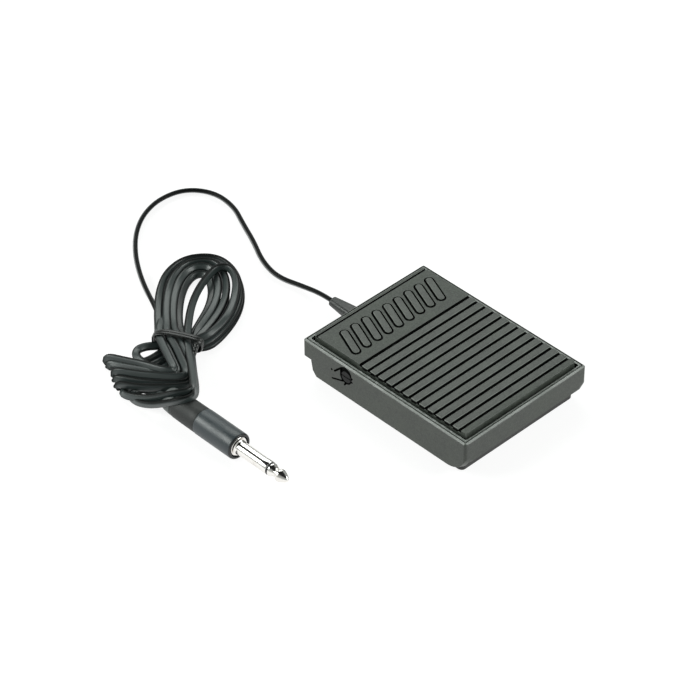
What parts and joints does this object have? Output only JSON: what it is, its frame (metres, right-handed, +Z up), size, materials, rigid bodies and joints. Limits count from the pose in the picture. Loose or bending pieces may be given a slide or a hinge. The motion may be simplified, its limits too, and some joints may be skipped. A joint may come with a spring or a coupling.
{
  "type": "sustain pedal",
  "caption": "Flat sustain pedal: a ribbed treadle lid hinged over a tray with a spring contact, and a hanked lead with a quarter-inch plug.",
  "frame": {"origin": "on the floor under the middle of the pedal's body", "axes": "+Z up, +Y towards the end the lead leaves by, -Y towards the player, +X to the player's right"},
  "size_m": [0.1429, 0.235, 0.0223],
  "materials": {
    "lid_plastic": "satin moulded plastic, dark grey with a green cast",
    "mat_rubber": "dull rubber, ribbed",
    "tray_plastic": "black moulded plastic",
    "sole_rubber": "black rubber",
    "pin_plastic": "black satin plastic",
    "steel": "zinc plated steel",
    "brass": "sprung brass strip",
    "wire_red": "wire insulation",
    "wire_white": "wire insulation",
    "cord_rubber": "satin PVC jacket, dark grey",
    "tie_plastic": "paper-thin black plastic over wire",
    "boot_rubber": "dull black moulded sleeve",
    "barrel_plastic": "smooth satin moulded plastic, blue grey",
    "ring_plastic": "black insulating ring",
    "plug_metal": "bright nickel plate"
  },
  "bodies": {
    "base": {"base_tray": "tray_plastic", "sole_pad": "sole_rubber", "hinge_pin_left": "pin_plastic", "hinge_pin_right": "pin_plastic", "rest_pad_left": "sole_rubber", "rest_pad_right": "sole_rubber", "bumper_left": "sole_rubber", "bumper_right": "sole_rubber", "return_spring": "steel", "ballast_plate": "steel", "ballast_screw_1": "steel", "ballast_screw_2": "steel", "ballast_screw_3": "steel", "ballast_screw_4": "steel", "contact_block": "tray_plastic", "contact_leaf_left": "brass", "contact_leaf_right": "brass", "contact_screw_left": "steel", "contact_screw_right": "steel", "clamp_bar": "tray_plastic", "clamp_screw_left": "steel", "clamp_screw_right": "steel", "inner_wire_left": "wire_red", "inner_wire_right": "wire_white", "strain_relief": "cord_rubber", "cord_run": "cord_rubber", "cord_hank": "cord_rubber", "hank_tie": "tie_plastic", "cord_tail": "cord_rubber", "plug_boot": "boot_rubber", "plug_cap": "cord_rubber", "plug_barrel": "barrel_plastic", "plug_sleeve": "plug_metal", "plug_insulator": "ring_plastic", "plug_tip": "plug_metal"},
    "treadle": {"treadle_lid": "lid_plastic", "tread_mat": "mat_rubber", "contact_bridge": "brass"}
  },
  "joints": [
    {"name": "treadle_hinge", "type": "hinge", "parent": "base", "child": "treadle", "pos_m": [0, 0.0225, 0.0134], "axis": [1, 0, 0], "range_deg": [0, 2.1], "stiffness_Nm_per_rad": 2, "springref_deg": -8.02, "deforming": ["return_spring"]}
  ]
}
